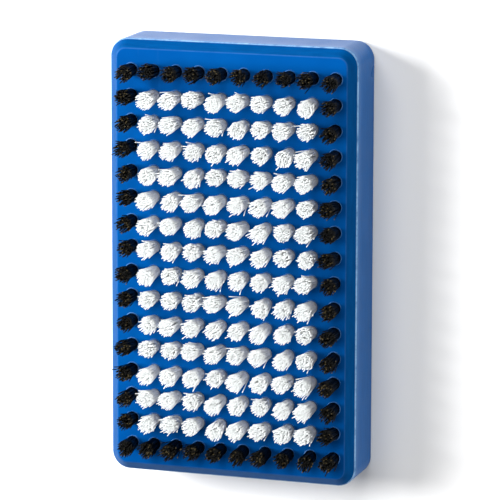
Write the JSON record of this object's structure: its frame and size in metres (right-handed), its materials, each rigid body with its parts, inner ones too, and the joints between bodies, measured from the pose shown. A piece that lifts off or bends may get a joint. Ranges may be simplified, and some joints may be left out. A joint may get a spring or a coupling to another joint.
{
  "type": "block brush",
  "caption": "Rectangular hand brush: a solid plastic block with a chamfered working face, set with short bristle tufts, white in the field and black round the border.",
  "frame": {"origin": "middle of the flat back of the block, which the brush lies on", "axes": "+X across the short side, +Y along the long side, +Z out of the back towards the bristle tips"},
  "size_m": [0.07, 0.12, 0.0255],
  "materials": {
    "block_plastic": "satin moulded plastic",
    "white_bristle": "nylon filament",
    "black_bristle": "nylon filament",
    "anchor_wire": "drawn flat wire"
  },
  "bodies": {
    "root": {"brush_block": "block_plastic", "white_tufts_row_02": "white_bristle", "white_tufts_row_03": "white_bristle", "white_tufts_row_04": "white_bristle", "white_tufts_row_05": "white_bristle", "white_tufts_row_06": "white_bristle", "white_tufts_row_07": "white_bristle", "white_tufts_row_08": "white_bristle", "white_tufts_row_09": "white_bristle", "white_tufts_row_10": "white_bristle", "white_tufts_row_11": "white_bristle", "white_tufts_row_12": "white_bristle", "white_tufts_row_13": "white_bristle", "white_tufts_row_14": "white_bristle", "white_tufts_row_15": "white_bristle", "black_tufts_top_row": "black_bristle", "black_tufts_bottom_row": "black_bristle", "black_tufts_left_column": "black_bristle", "black_tufts_right_column": "black_bristle", "anchors_row_01": "anchor_wire", "anchors_row_02": "anchor_wire", "anchors_row_03": "anchor_wire", "anchors_row_04": "anchor_wire", "anchors_row_05": "anchor_wire", "anchors_row_06": "anchor_wire", "anchors_row_07": "anchor_wire", "anchors_row_08": "anchor_wire", "anchors_row_09": "anchor_wire", "anchors_row_10": "anchor_wire", "anchors_row_11": "anchor_wire", "anchors_row_12": "anchor_wire", "anchors_row_13": "anchor_wire", "anchors_row_14": "anchor_wire", "anchors_row_15": "anchor_wire", "anchors_row_16": "anchor_wire"}
  },
  "joints": []
}
